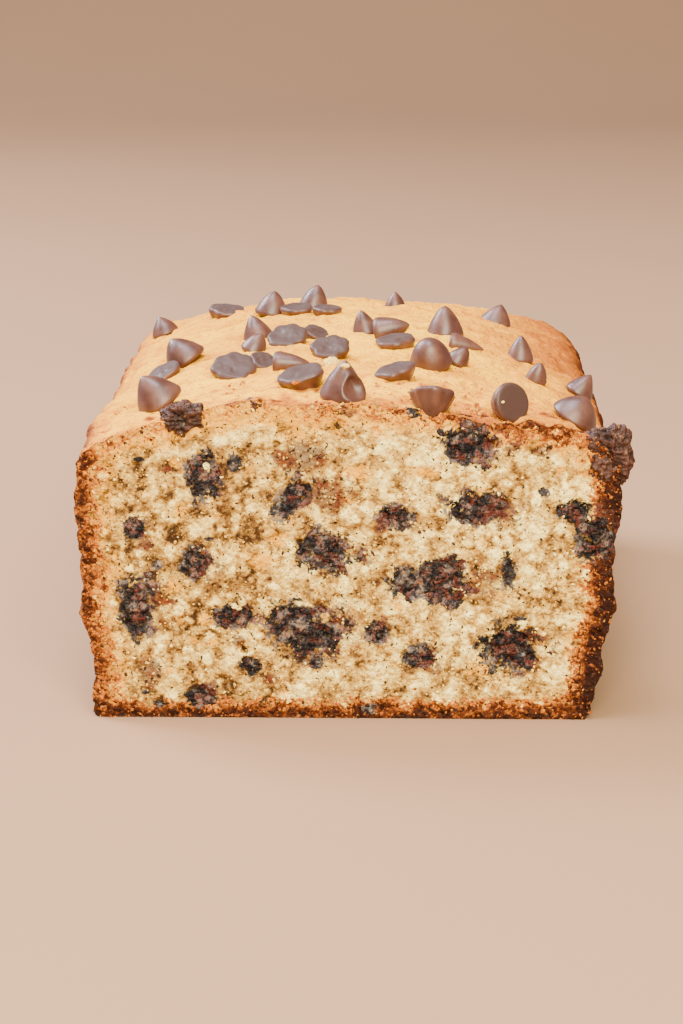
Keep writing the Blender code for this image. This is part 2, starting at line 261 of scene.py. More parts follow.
def makeCrustMaterial(s):
    material, add = newMaterial("bakedCakeCrust")
    brown, rough, paintedShade = (add("Attribute", {}, "Fac", attribute_name=name)
                            for name in ("brown", "rough", "paintedShade"))
    broad = noiseFactor(add, s["broad"], 6.0, 0.38, 0.64, roughness=0.6)
    _, _, grainTone, normal = twoGrains(add, s["coarse"], s["fine"], s["coarseHeight"], s["fineHeight"])
    tone = add("Mix", {0: 0.5, 2: broad, 3: grainTone})
    rougher = add("Math", {0: rough, 1: 0.58, 2: 0.42}, operation="MULTIPLY_ADD", use_clamp=True)
    share = add("Math", {0: tone, 1: rougher}, operation="MULTIPLY")
    raised = add("Math", {0: share, 1: s["mottling"], 2: brown}, operation="MULTIPLY_ADD")
    raised = add("MapRange", {"Value": raised, "From Max": 2.2})
    colour = add("ValToRGB", {"Fac": raised}, "Color", [
        (0.0, s["pale"]), (0.20, s["gold"]), (0.42, s["orange"]), (0.66, s["brown"]), (1.0, s["dark"])])
    specks = noiseFactor(add, s["specks"], 2.0, 0.645, 0.705, (0.3, 0.1, 0.7))
    colour = add("Mix", {0: specks, 6: colour, 7: hexColour(s["speck"])}, 2, data_type="RGBA")
    # Painted shade: in the crust's hollows, creases and pores the colour is multiplied by orange.
    colour = add("Mix", {0: paintedShade, 6: colour, 7: hexColour(s["orange"])}, 2, data_type="RGBA",
                 blend_type="MULTIPLY")
    finishMaterial(add, {"Base Color": colour, "Normal": normal, "Roughness": s["roughness"],
                         "Specular IOR Level": 0.08, "Subsurface Weight": 0.08, "Subsurface Scale": 0.0012,
                         "Subsurface Radius": (1.0, 0.55, 0.25)})
    return material


# Cut cake crumb: a soft open sponge of butter and flour, matt, light sinking a millimetre into it. Where the
# knife tore a piece of chocolate it is near black, crumbled and a little glossier, and red-brown beside it.
crumbLook = {"white": "FCE892", "pale": "D4B058", "warm": "A87E38", "shade": "6C4A22", "deep": "3A2614",
             "orange": "E8A410", "red": "6C2C18", "mauve": "5A4038", "speck": "30221A", "navy": "0D0C11",
             "cocoa": "2C282A", "dust": "776D66", "roughness": 0.9, "chocolateRoughness": 0.5, "broad": 4.2,
             "coarse": 1.5, "fine": 0.62, "specks": 0.75, "clouds": 2.6, "coarseHeight": 0.8,
             "fineHeight": 0.4, "grainShare": 0.42, "paleLift": 0.40, "hollowShade": -0.52,
             "stainShare": 0.95, "redShare": 0.85,
             "smearShare": 0.45}


def makeCutMaterial(name, s, crust):
    material, add = newMaterial(name)
    marks = {mark: add("Attribute", {}, "Fac", attribute_name=mark)
             for mark in ("pale", "paintedShade", "orange", "brown", "red", "chocolate", "near")}
    broad = noiseFactor(add, s["broad"], 5.0, 0.37, 0.64, roughness=0.6)
    coarseTone, _, grainTone, normal = twoGrains(add, s["coarse"], s["fine"], s["coarseHeight"],
                                                 s["fineHeight"])
    tone = add("Mix", {0: s["grainShare"], 2: broad, 3: grainTone})
    tone = add("Math", {0: marks["pale"], 1: s["paleLift"], 2: tone}, operation="MULTIPLY_ADD")
    # Painted shade: the crumb's tone is darkened in its hollows and pores.
    tone = add("Math", {0: marks["paintedShade"], 1: s["hollowShade"], 2: tone}, operation="MULTIPLY_ADD")
    tone = add("MapRange", {"Value": tone, "From Min": -0.2, "From Max": 0.8})
    colour = add("ValToRGB", {"Fac": tone}, "Color", [
        (0.02, s["deep"]), (0.15, s["shade"]), (0.34, s["warm"]), (0.54, s["pale"]), (0.78, s["white"])])
    stain = brokenMask(add, marks["orange"], grainTone, 0.8, 0.25, 0.95)
    stain = add("Math", {0: stain, 1: s["stainShare"]}, operation="MULTIPLY")
    colour = add("Mix", {0: stain, 6: colour, 7: hexColour(s["orange"])}, 2, data_type="RGBA")
    rind = brokenMask(add, marks["brown"], grainTone, 1.5, 0.10, 1.45)
    rindColour = add("ValToRGB", {"Fac": rind}, "Color", [
        (0.0, crust["gold"]), (0.26, crust["orange"]), (0.58, crust["brown"]), (1.0, crust["dark"])])
    rindShare = add("MapRange", {"Value": rind, "From Min": 0.04, "From Max": 0.16})
    colour = add("Mix", {0: rindShare, 6: colour, 7: rindColour}, 2, data_type="RGBA")
    redColour = add("Mix", {0: broad, 6: hexColour(s["red"]), 7: hexColour(s["mauve"])}, 2, data_type="RGBA")
    redMask = brokenMask(add, marks["red"], grainTone, 1.2, 0.25, 0.75)
    redShare = add("Math", {0: redMask, 1: s["redShare"]}, operation="MULTIPLY")
    colour = add("Mix", {0: redShare, 6: colour, 7: redColour}, 2, data_type="RGBA")
    darkMask = brokenMask(add, marks["chocolate"], grainTone, 1.1, 0.34, 0.60)
    clouds = noiseFactor(add, s["clouds"], 4.0, 0.36, 0.66, (0.4, 0.2, 0.9), 0.6)
    cocoa = add("ValToRGB", {"Fac": add("Mix", {0: 0.5, 2: clouds, 3: grainTone})}, "Color", [
        (0.30, s["navy"]), (0.54, s["cocoa"]), (0.78, s["dust"]), (0.94, s["warm"])])
    smear = brokenMask(add, redMask, coarseTone, 1.0, 0.75, 1.05)
    smear = add("Math", {0: smear, 1: s["smearShare"]}, operation="MULTIPLY")
    cocoa = add("Mix", {0: smear, 6: cocoa, 7: hexColour(s["red"])}, 2, data_type="RGBA")
    colour = add("Mix", {0: darkMask, 6: colour, 7: cocoa}, 2, data_type="RGBA")
    specks = noiseFactor(add, s["specks"], 1.0, 0.0, 1.0, (0.2, 0.5, 0.1))
    specks = add("Math", {0: marks["near"], 1: 0.07, 2: specks}, operation="MULTIPLY_ADD")
    specks = add("MapRange", {"Value": specks, "From Min": 0.66, "From Max": 0.72})
    colour = add("Mix", {0: specks, 6: colour, 7: hexColour(s["speck"])}, 2, data_type="RGBA")
    roughness = add("Mix", {0: darkMask, 2: s["roughness"], 3: s["chocolateRoughness"]})
    finishMaterial(add, {"Base Color": colour, "Normal": normal, "Roughness": roughness,
                         "Specular IOR Level": 0.15, "Subsurface Weight": 0.1, "Subsurface Scale": 0.0008,
                         "Subsurface Radius": (1.0, 0.75, 0.5)})
    return material


# Dark chocolate: moulded drops with a satin skin, dulled a little by the grey bloom that baking brings out.
chipLook = {"body": "3D1C0F", "bloom": "5C3625", "base": "341A0C", "sheen": "D4C4DC",
            "skinRoughness": 0.42, "baseRoughness": 0.75, "clouds": 4.0, "fine": 0.7, "fineHeight": 0.06}


def makeChipMaterial(s):
    material, add = newMaterial("darkChocolateDrop")
    base = add("Attribute", {}, "Fac", attribute_name="base")
    cloud = noiseFactor(add, s["clouds"], 3.0, 0.35, 0.7)
    colour = add("Mix", {0: cloud, 6: hexColour(s["body"]), 7: hexColour(s["bloom"])}, 2, data_type="RGBA")
    colour = add("Mix", {0: base, 6: colour, 7: hexColour(s["base"])}, 2, data_type="RGBA")
    dull = add("Math", {0: cloud, 1: 0.25, 2: base}, operation="MULTIPLY_ADD", use_clamp=True)
    roughness = add("MapRange", {"Value": dull, "To Min": s["skinRoughness"], "To Max": s["baseRoughness"]})
    fine = noiseFactor(add, s["fine"], 3.0, 0.2, 0.8)
    normal = add("Bump", {"Height": fine, "Distance": s["fineHeight"] / 1000, "Strength": 0.5})
    finishMaterial(add, {"Base Color": colour, "Normal": normal, "Roughness": roughness,
                         "Specular IOR Level": 0.5, "IOR": 1.48, "Coat Weight": 0.24, "Coat Roughness": 0.36,
                         "Sheen Weight": 0.05, "Sheen Roughness": 0.6, "Sheen Tint": hexColour(s["sheen"])})
    return material


# Broken chocolate: a snapped lump, matt and granular, with painted shade in its cracks and a painted
# highlight on its ridges, and crumbs on some grains.
chunkLook = {"dark": "150804", "mid": "2E1409", "paintedRidgeHighlight": "4C281A", "crumb": "A87C50", "crumbShare": 0.3,
             "roughness": 0.6, "coarse": 1.25, "fine": 0.62, "coarseHeight": 0.5, "fineHeight": 0.3}


def makeChunkMaterial(s):
    material, add = newMaterial("brokenChocolate")
    ridge = add("Attribute", {}, "Fac", attribute_name="ridge")
    _, fineTone, grainTone, normal = twoGrains(add, s["coarse"], s["fine"], s["coarseHeight"],
                                               s["fineHeight"])
    # Painted shade and highlight: dark in the cracks, light on the ridges.
    colour = add("ValToRGB", {"Fac": add("Mix", {0: 0.4, 2: ridge, 3: grainTone})}, "Color", [
        (0.22, s["dark"]), (0.5, s["mid"]), (0.86, s["paintedRidgeHighlight"])])
    dust = add("MapRange", {"Value": fineTone, "From Min": 0.93, "From Max": 0.97})
    dust = add("Math", {0: dust, 1: s["crumbShare"]}, operation="MULTIPLY")
    colour = add("Mix", {0: dust, 6: colour, 7: hexColour(s["crumb"])}, 2, data_type="RGBA")
    finishMaterial(add, {"Base Color": colour, "Normal": normal, "Roughness": s["roughness"],
                         "Specular IOR Level": 0.4, "IOR": 1.48})
    return material


# Loose crumbs: the same sponge and crust in single grains, pale to brown by each one's own tone.
def makeGrainMaterial(s, crust):
    material, add = newMaterial("looseCakeCrumb")
    tone = add("Attribute", {}, "Fac", attribute_name="tone")
    fine, fineTone = grainCells(add, s["fine"], (0.4, 0.2, 0.3))
    varied = add("Math", {0: fineTone, 1: 0.16, 2: tone}, operation="MULTIPLY_ADD")
    colour = add("ValToRGB", {"Fac": varied}, "Color", [
        (0.0, s["white"]), (0.22, s["pale"]), (0.42, s["warm"]),
        (0.60, crust["orange"]), (0.80, crust["brown"]), (1.0, s["speck"])])
    normal = add("Bump", {"Height": fine, "Distance": s["fineHeight"] / 1000, "Strength": 0.7})
    finishMaterial(add, {"Base Color": colour, "Normal": normal, "Roughness": 0.85, "Specular IOR Level": 0.2,
                         "Subsurface Weight": 0.1, "Subsurface Scale": 0.0006,
                         "Subsurface Radius": (1.0, 0.7, 0.45)})
    return material


crustMaterial = makeCrustMaterial(crustLook)
crumbMaterial = makeCutMaterial("cutCakeCrumb", crumbLook, crustLook)
tornMaterial = makeCutMaterial("tornChocolate", crumbLook, crustLook)
chipMaterial = makeChipMaterial(chipLook)
chunkMaterial = makeChunkMaterial(chunkLook)
grainMaterial = makeGrainMaterial(crumbLook, crustLook)
print("materials made")

# The loaf, in metres: the same sizes as its solid. A crag stands out of a wall: side, way in from the cut,
# height, reach and spread. A wave lies on the crown: x, way in from the cut, height, spread in x and y.
cake = {"length": 0.1850, "topWidth": 0.1190, "footWidth": 0.1080, "shoulder": 0.0590, "crown": 0.0720,
        "widest": 0.0500, "rearLean": 0.0060, "rearCorner": 0.0280, "shoulderRadius": 0.0028,
        "footRadius": 0.0020, "swell": 0.0020, "settle": np.array([-0.0012, 0.0009, 0.0]),
        "crags": [(-1, 0.002, 0.048, 0.0016, 0.0030), (-1, 0.003, 0.023, 0.0020, 0.0028),
                  (-1, 0.000, 0.004, 0.0018, 0.0035), (1, 0.002, 0.025, 0.0018, 0.0028),
                  (1, 0.003, 0.050, 0.0010, 0.0030), (-1, 0.040, 0.040, 0.0010, 0.0060),
                  (1, 0.055, 0.045, 0.0010, 0.0060)],
        "waves": [(0.0270, 0.000, -0.0018, 0.0090, 0.0060), (0.0480, 0.004, 0.0016, 0.0070, 0.0200),
                  (-0.0210, 0.000, 0.0010, 0.0050, 0.0080), (-0.0120, 0.000, -0.0010, 0.0045, 0.0050),
                  (-0.0570, 0.024, 0.0030, 0.0060, 0.0180)],
        "wallCells": 150, "topCells": 300, "floorCells": 6, "lengthRows": 112, "endRows": 22}
cutY = -0.5 * cake["length"]
photo = {"width": 683, "height": 1024, "sensor": 36.0}
eye = np.array(view["place"]) - cake["settle"]


# Directions in which pixels of the photograph are seen: forward + right u / f + up v / f, f in pixels.
def sightLines(pixels):
    pixels = np.asarray(pixels, dtype=float)
    turn, pitch = math.radians(view["turn"]), math.radians(view["pitch"])
    level, drop = math.cos(pitch), math.sin(pitch)
    forward = np.array([-math.sin(turn) * level, math.cos(turn) * level, -drop])
    right = np.array([math.cos(turn), math.sin(turn), 0.0])
    focal = view["lens"] / photo["sensor"] * photo["height"]
    across, rise = pixels[..., :1] - 0.5 * photo["width"], 0.5 * photo["height"] - pixels[..., 1:]
    return forward + (across * right + rise * np.cross(right, forward)) / focal


# Pixel boxes (left, top, right, bottom) as marks on the cut: x, z of the middle, width and height there.
def seenOnCut(boxes):
    boxes = np.asarray(boxes, dtype=float)
    corners = []
    for lines in (sightLines(boxes[:, :2]), sightLines(boxes[:, 2:])):
        corners.append(eye + lines * ((cutY - eye[1]) / lines[:, 1:2]))
    middle, size = 0.5 * (corners[0] + corners[1]), np.abs(corners[1] - corners[0])
    return np.stack([middle[:, 0], middle[:, 2], size[:, 0], size[:, 2]], axis=-1)


# The point of a surface that a pixel shows: of its points within reach of the line of sight, the nearest one.
def seenOn(points, pixel, reach=0.0008):
    line = sightLines(pixel)
    line = line / np.linalg.norm(line)
    offset = points.reshape(-1, 3) - eye
    along = offset @ line
    away = np.linalg.norm(offset - along[:, None] * line, axis=-1)
    return points.reshape(-1, 3)[np.argmin(np.where(away < reach, along, away + 10.0))]


# Middle and sizes of a node's solid, in the loaf's own place.
def nodeBox(node):
    low, high = (np.array(corner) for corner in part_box(node))
    return 0.5 * (low + high) - cake["settle"], high - low


# Half width at height z: a quarter sine from the foot's width to the rim's.
def halfWidth(z):
    s = cake
    return 0.5 * (s["footWidth"] + (s["topWidth"] - s["footWidth"])
                  * np.sin(0.5 * np.pi * np.clip(z / s["widest"], 0, 1)))


# Height of the crown over the shoulder: 1 - |x|^2.6 across, falling by the cube of the way to the far end,
# plus the waves, each a bell curve.
def crownLift(x, y):
    s = cake
    across = 1 - np.clip(np.abs(x) / (0.5 * s["topWidth"]), 0, 1) ** 2.6
    way = (y - cutY) / s["length"]
    rise = (s["crown"] - s["shoulder"]) * (1 - 0.8 * np.clip((way - 0.55) / 0.45, 0, 1) ** 3)
    lift = across * (rise + s["swell"] * np.sin(np.pi * np.clip(way, 0, 1)))
    for waveX, waveY, height, spreadX, spreadY in s["waves"]:
        away = ((x - waveX) / spreadX) ** 2 + ((y - cutY - waveY) / spreadY) ** 2
        lift = lift + height * np.exp(-0.5 * away)
    return lift


# Distance in from the side walls or the rounded far end, and the direction out.
def planEdge(x, y):
    halfX, halfY, radius = 0.5 * cake["topWidth"], 0.5 * cake["length"], cake["rearCorner"]
    side = np.where(x > 0, 1.0, -1.0)
    overX, overY = np.abs(x) - (halfX - radius), y - (halfY - radius)
    corner = (overX > 0) & (overY > 0)
    reach = np.where(corner, np.hypot(overX, overY), 1.0)
    bySide = halfX - np.abs(x) < halfY - y
    edge = np.where(corner, radius - reach, np.minimum(halfX - np.abs(x), halfY - y))
    outX = np.where(corner, side * overX / reach, np.where(bySide, side, 0.0))
    outY = np.where(corner, overY / reach, np.where(bySide, 0.0, 1.0))
    return edge, outX, outY


# Height of the crust over a point of the plan.
def crustHeight(x, y):
    radius = cake["shoulderRadius"]
    edge = np.clip(planEdge(x, y)[0], 0, radius)
    return cake["shoulder"] + crownLift(x, y) - (radius - np.sqrt(radius ** 2 - (radius - edge) ** 2))


# A point of the loaf from a point of its plain box: corners pulled round, crown lifted, sides leaned in.
def loafPoint(x, y, z):
    s = cake
    halfX, halfY, radius = 0.5 * s["topWidth"], 0.5 * s["length"], s["rearCorner"]
    overX, overY = np.abs(x) - (halfX - radius), y - (halfY - radius)
    corner = (overX > 0) & (overY > 0)
    pull = np.where(corner, np.maximum(overX, overY) / np.where(corner, np.hypot(overX, overY), 1), 1)
    x = np.where(corner, np.sign(x) * (halfX - radius + overX * pull), x)
    y = np.where(corner, halfY - radius + overY * pull, y)
    edge, outX, outY = planEdge(x, y)
    for turn, upward in ((s["shoulderRadius"], 1.0), (s["footRadius"], -1.0)):
        rise = z - (s["shoulder"] - turn) if upward > 0 else turn - z
        inward = turn - edge
        both = (inward > 0) & (rise > 0)
        pull = np.where(both, np.maximum(inward, rise) / np.where(both, np.hypot(inward, rise), 1), 1)
        x = x - np.where(both, outX * inward * (1 - pull), 0)
        y = y - np.where(both, outY * inward * (1 - pull), 0)
        z = z + np.where(both, rise * (pull - 1) * upward, 0)
    top = z + crownLift(x, y) * np.clip(z / s["shoulder"], 0, 1) ** 3
    x = x * halfWidth(z) / halfX
    y = np.where(y > 0, y - s["rearLean"] * (1 - z / s["shoulder"]) * y / halfY, y)
    return pointArray(x, y, top)


# Normals of a closed grid: the cross product of its differences along the rows and round the columns.
def gridNormals(grid):
    wide = np.concatenate([grid[:, -2:], grid, grid[:, :2]], axis=1)
    across = (wide[:, 2:] - wide[:, :-2])[:, 1:-1]
    along = np.gradient(grid, axis=0)
    normal = np.cross(across, along)
    return normal / np.maximum(np.linalg.norm(normal, axis=-1, keepdims=True), 1e-12)


# The torn crumb, in metres: its cells by size, seed and height, its pores as openPores takes them.
crumbForm = {"warp": 0.0011, "cells": ((0.0030, 11, 0.00046), (0.0016, 21, 0.00034), (0.0008, 31, 0.00022)),
             "pores": (0.0050, 41, 0.0003, 0.0010, 3, 0.35), "poreDepth": 0.0012, "swell": 0.00050,
             "swellSize": 0.0085, "sunk": 0.00030}


# How far the torn crumb stands out of the cut plane, and how much painted shade its hollows and pores get,
# from 0
# up: rounded cells of three sizes on a warped plane, a broad swell, and small open pores.
def cutRelief(x, z):
    s = crumbForm
    flat = pointArray(x, 0.013, z)
    warp = pointArray(layeredNoise(flat, 0.0030, 3, 5), 0, layeredNoise(flat, 0.0030, 3, 6))
    flat = flat + s["warp"] * warp
    lumps = 0.0
    for size, seed, height in s["cells"]:
        lumps = lumps + height * cellLumps(flat, size, seed, 1.6)
    pits = openPores(flat, *s["pores"])
    wide = layeredNoise(flat, s["swellSize"], 3, 61)
    out = lumps + s["swell"] * wide - s["poreDepth"] * pits
    # Painted shade for the hollows between the cells and for the pores.
    paintedShade = np.clip(0.75 - 1150 * lumps - 0.30 * wide, 0, 1) + 0.8 * pits
    return out - s["sunk"], paintedShade


tornNodes = sorted(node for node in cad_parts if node.startswith("cut_chip_"))

# What else marks the cut, read off the photograph: left, top, right, bottom of each mark in its pixels.
photoMarks = {
    "chocolate": [
        (224, 457, 243, 473), (272, 480, 300, 523), (204, 536, 216, 542), (132, 456, 147, 462),
        (153, 560, 163, 569), (141, 690, 150, 695), (150, 699, 163, 708), (443, 423, 497, 452),
        (539, 487, 550, 496), (393, 561, 407, 588), (501, 555, 516, 588), (514, 616, 526, 622),
        (365, 705, 376, 714), (407, 404, 422, 417), (311, 654, 323, 667), (121, 521, 141, 542)],
    "red": [
        (311, 480, 345, 509), (284, 448, 320, 466), (138, 541, 149, 550), (159, 467, 170, 473),
        (274, 451, 284, 460), (323, 617, 343, 624), (234, 636, 243, 645), (263, 674, 277, 683),
        (139, 661, 161, 683), (481, 498, 514, 526), (376, 520, 390, 533), (506, 444, 518, 452),
        (537, 446, 549, 455), (340, 408, 355, 417), (470, 571, 501, 580), (426, 662, 439, 672),
        (380, 620, 393, 632), (425, 645, 436, 655), (520, 633, 543, 641), (206, 683, 218, 693),
        (156, 599, 175, 604)],
    "orange": [
        (270, 532, 286, 546), (284, 516, 295, 528), (175, 505, 184, 519), (170, 459, 179, 466),
        (288, 414, 309, 432), (238, 410, 257, 426), (250, 553, 273, 567), (291, 560, 298, 565),
        (166, 581, 181, 594), (206, 639, 218, 645), (199, 615, 215, 624), (413, 467, 438, 478),
        (346, 467, 374, 478), (499, 431, 531, 446), (474, 657, 491, 674), (394, 603, 403, 611),
        (359, 403, 390, 414)],
    "pale": [
        (259, 425, 284, 439), (331, 473, 348, 487), (124, 490, 135, 502), (160, 446, 172, 460),
        (163, 500, 178, 517), (213, 540, 228, 552), (374, 444, 392, 455), (478, 484, 503, 499),
        (558, 484, 576, 496), (526, 507, 543, 522), (508, 524, 556, 540), (397, 545, 430, 553),
        (228, 600, 247, 609), (203, 458, 211, 470), (300, 601, 320, 608), (512, 620, 539, 630),
        (472, 561, 487, 569), (316, 612, 335, 622)]}


# How strongly (0 to 1) each point of the cut lies in one of the marks; noise makes their outlines ragged.
def markMask(x, z, marks, ragged, soft):
    mask = np.zeros_like(x)
    for middleX, middleZ, width, height in marks:
        away = np.hypot((x - middleX) / (0.5 * width), (z - middleZ) / (0.5 * height))
        mask = np.maximum(mask, smoothStep(1 + soft, 1 - soft, away + ragged))
    return mask


# The crust's relief, in metres: its lumps, swells, creases, wrinkles, and its pores as openPores takes them.
crustForm = {"warp": 0.0012, "lumpSize": 0.0034, "smallSize": 0.0017, "swellSize": 0.016, "swell": 0.0010,
             "creaseSize": 0.0110, "crease": 0.00050, "wrinkleSize": 0.0040, "wrinkle": 0.00074,
             "edgeReach": 0.0045, "pores": (0.0048, 131, 0.0004, 0.0009, 2, 0.5)}


# Relief of the crust along its normals: swells, wrinkles, pores, and coarse crumbling by the cut and walls;
# and the painted shade of its hollows, creases and pores.
def crustRelief(points, normals):
    s = crustForm
    fromCut = points[..., 1] - cutY
    wall = smoothStep(0.75, 0.35, np.abs(normals[..., 2]))
    edge = np.exp(-fromCut / s["edgeReach"])
    warp = pointArray(layeredNoise(points, 0.004, 2, 95), layeredNoise(points, 0.004, 2, 96), 0)
    warped = points + s["warp"] * warp
    lumps = cellLumps(warped, s["lumpSize"], 101, 1.5)
    small = cellLumps(warped, s["smallSize"], 104, 1.5)
    pores = openPores(points, *s["pores"])
    wide = layeredNoise(points, s["swellSize"], 2, 111)
    crease = np.clip(1 - np.abs(layeredNoise(warped, s["creaseSize"], 3, 115)) / 0.10, 0, 1)
    fine = layeredNoise(points, s["wrinkleSize"], 3, 121)
    out = s["swell"] * wide + s["wrinkle"] * fine - s["crease"] * crease * (1 - wall)
    out = out + (0.00034 + 0.00022 * wall + 0.00060 * edge) * lumps + (0.00022 + 0.00016 * wall) * small
    out = out - (0.0004 + 0.0003 * wall) * pores
    for side, place, height, reach, spread in cake["crags"]:
        away = (fromCut - place) ** 2 + (points[..., 2] - height) ** 2
        out = out + (points[..., 0] * side > 0) * reach * np.exp(-0.5 * away / spread ** 2)
    rough = np.clip(wall + edge, 0, 1)
    # Painted shade for the hollows between lumps, the creases and the pores.
    paintedShade = np.clip(0.45 - 0.7 * lumps - 0.4 * small, 0, 1) * (0.15 + 0.55 * rough)
    paintedShade = paintedShade + 0.35 * crease * (1 - wall)
    return out, np.clip(paintedShade + 0.5 * pores, 0, 1), wall, rough


# The crust is one closed ring round the loaf's section, carried from the cut to the far end and drawn in to
# a point there. It is browned by the tin, on the shoulder and in spots, and paler over the crown. It is
# browner towards the right, partly by the tin and partly as painted shade, and its hollows carry painted
# shade.
def makeCrust():
    s = cake
    wall = np.linspace(0, 1, s["wallCells"] + 1)[:-1]
    top = np.linspace(-1, 1, s["topCells"] + 1)[:-1]
    floor = np.linspace(1, -1, s["floorCells"] + 1)[:-1]
    ringX = np.concatenate([-np.ones_like(wall), top, np.ones_like(wall), floor]) * 0.5 * s["topWidth"]
    ringZ = np.concatenate([wall, np.ones_like(top), 1 - wall, np.zeros_like(floor)]) * s["shoulder"]
    way = np.linspace(0, 1, s["lengthRows"])
    rowY = cutY + s["length"] * (0.34 * way + 0.66 * way ** 2)
    inward = np.linspace(0, 1, s["endRows"] + 1)[1:]
    boxY = np.concatenate([rowY, np.full(s["endRows"], 0.5 * s["length"])])[:, None]
    shrink = np.concatenate([np.ones(s["lengthRows"]), 1 - inward])[:, None]
    middle = 0.5 * s["shoulder"]
    grid = loafPoint(ringX * shrink, boxY + 0 * ringX, middle + (ringZ - middle) * shrink)
    normals = gridNormals(grid)
    relief, paintedShade, side, rough = crustRelief(grid, normals)
    onFloor = (ringZ < 1e-9)[None, :] & (shrink > 0.999)
    relief = np.where(grid[..., 2] < 0.0006, np.minimum(relief, 0.0002), relief)
    moved = grid + normals * relief[..., None]
    moved[..., 2] = np.where(onFloor, 0.0, np.maximum(moved[..., 2], 0.0))
    fromCut = grid[..., 1] - cutY
    torn, _ = cutRelief(moved[..., 0], moved[..., 2])
    moved[..., 1] -= np.where(onFloor, 0, torn * np.exp(-fromCut / 0.0012))
    blotch = layeredNoise(grid, 0.020, 4, 141)
    low = smoothStep(0.030, 0.000, grid[..., 2])
    side = np.maximum(side, smoothStep(0.006, 0.003, grid[..., 2]))
    # Browner towards the right: partly the tin's browning, partly painted shade on the side turned from the
    # window.
    rightwardBrownAndShade = smoothStep(0.3, 0.95, grid[..., 0] / (0.5 * s["topWidth"]))
    brown = side * (0.85 + 0.40 * low + 0.35 * blotch + 0.55 * rightwardBrownAndShade)
    brown = brown + (1 - side) * (0.10 + 0.35 * blotch + 0.30 * rightwardBrownAndShade)
    shoulderEdge = smoothStep(0.0070, 0.0, planEdge(grid[..., 0], grid[..., 1])[0]) * (1 - side)
    brown = brown + (0.10 * smoothStep(0.03, 0.17, fromCut) + 0.25 * shoulderEdge) * (1 - side)
    orange = smoothStep(0.05, 0.6, layeredNoise(grid, 0.0065, 3, 147))
    orange = orange * (0.25 + 0.75 * np.exp(-fromCut / 0.012))
    spot, chance = cellNoise(grid + 0.0008 * layeredNoise(grid, 0.002, 2, 151)[..., None], 0.0045, 153)
    spots = smoothStep(0.42, 0.18, spot / (0.3 + chance)) * (chance > 0.35) * np.exp(-fromCut / 0.020)
    # Partly painted shade: the far right of the top is made browner.
    farRightBrownAndShade = 0.30 * rightwardBrownAndShade * smoothStep(0.05, 0.14, fromCut)
    lip = 0.25 * np.exp(-fromCut / 0.0030)
    brown = np.clip(brown + (0.75 * orange + 1.30 * spots + farRightBrownAndShade + lip) * (1 - side), 0, 1.8)
    marks = {"brown": brown, "paintedShade": paintedShade, "rough": rough}
    addPiece("cakeCrust", moved + s["settle"], gridFaces(*grid.shape[:2], closed=True, flip=True),
             crustMaterial, ["loaf"], marks, weld=0.000002)
    return moved


crustPoints = makeCrust()
print("crust made")


# A line through points, sampled anew at equal steps of its point number.
def resampled(line, count):
    place = np.linspace(0, len(line) - 1, count)
    return np.stack([np.interp(place, np.arange(len(line)), line[:, axis]) for axis in range(3)], axis=-1)


# The cut face: its grid, the recess behind torn chocolate, and each side's rind by depth (m) and strength.
# The right rind is stronger than the left partly as painted shade.
faceForm = {"columns": 440, "rows": 222, "recess": 0.0016, "rim": 0.90, "leftRind": (0.0054, 1.0),
            "rightRindWithShade": (0.0068, 1.8), "footRind": (0.0046, 1.3), "topRind": 0.0046, "ragged": 0.0024,
            "topGold": (0.0088, 0.0026), "sideGold": (0.0130, 0.0040), "goldRagged": 0.0050}
markNames = ("paintedShade", "chocolate", "red", "orange", "pale", "near")


# Where the torn chocolate lies on the cut: x, z of the middle, width and height of each solid.
def solidMarks():
    solids = [nodeBox(node) for node in tornNodes]
    return np.array([(middle[0], middle[2], size[0], size[2]) for middle, size in solids])


# Everything that marks the cut at its points: relief, the painted shade of its hollows and pores, and how
# strongly each mark colours it.
def cutMarks(x, z):
    flat = pointArray(x, 0.031, z)
    ragged = 0.60 * layeredNoise(flat, 0.0034, 4, 71) + 0.22 * layeredNoise(flat, 0.0012, 2, 73)
    out, paintedShade = cutRelief(x, z)
    solids = solidMarks()
    seen = {kind: seenOnCut(boxes) for kind, boxes in photoMarks.items()}
    beside = solids * np.array([1, 1, 1.2, 1.1]) + solids[:, 2:3] * np.array([0.22, 0, 0, 0])
    chocolate = markMask(x, z, solids, 1.05 * ragged - 0.04, 0.40)
    chocolate = np.maximum(chocolate, markMask(x, z, seen["chocolate"], 1.2 * ragged, 0.60))
    red = np.maximum(0.50 * markMask(x, z, beside, 1.2 * ragged, 0.60),
                     markMask(x, z, seen["red"], 1.3 * ragged - 0.25, 0.70))
    orange = 0.9 * markMask(x, z, seen["orange"], 1.3 * ragged - 0.20, 0.80)
    orange = np.maximum(orange, 0.45 * smoothStep(0.20, 0.75, layeredNoise(flat, 0.0075, 4, 161)))
    orange = np.maximum(orange, 0.75 * smoothStep(0.25, 0.65, layeredNoise(flat, 0.0036, 3, 163)))
    fluff, chance = cellNoise(flat + 0.0012 * layeredNoise(flat, 0.003, 2, 181)[..., None], 0.0048, 191)
    pale = (chance > 0.40) * smoothStep(0.36, 0.20, fluff * (1 + 0.6 * (1 - chance)) + 0.12 * ragged)
    clump = smoothStep(0.62, 0.34, cellNoise(flat, 0.0017, 193)[0])
    fluffy = markMask(x, z, seen["pale"], 1.5 * ragged, 0.6) * (0.2 + 0.8 * clump)
    pale = np.maximum(pale * smoothStep(0.5, 0.2, chocolate), 0.75 * fluffy)
    chocolate, red = chocolate * (1 - fluffy), red * (1 - fluffy)
    near = markMask(x, z, solids, ragged, 0.85)
    pale = pale - 0.42 + 0.42 * smoothStep(-0.055, 0.030, x)
    return {"out": out + 0.0005 * np.clip(pale, 0, 1), "paintedShade": np.clip(paintedShade, 0, 1.4), "ragged": ragged,
            "pale": pale, "chocolate": chocolate, "red": red, "orange": orange, "near": np.maximum(near, red)}


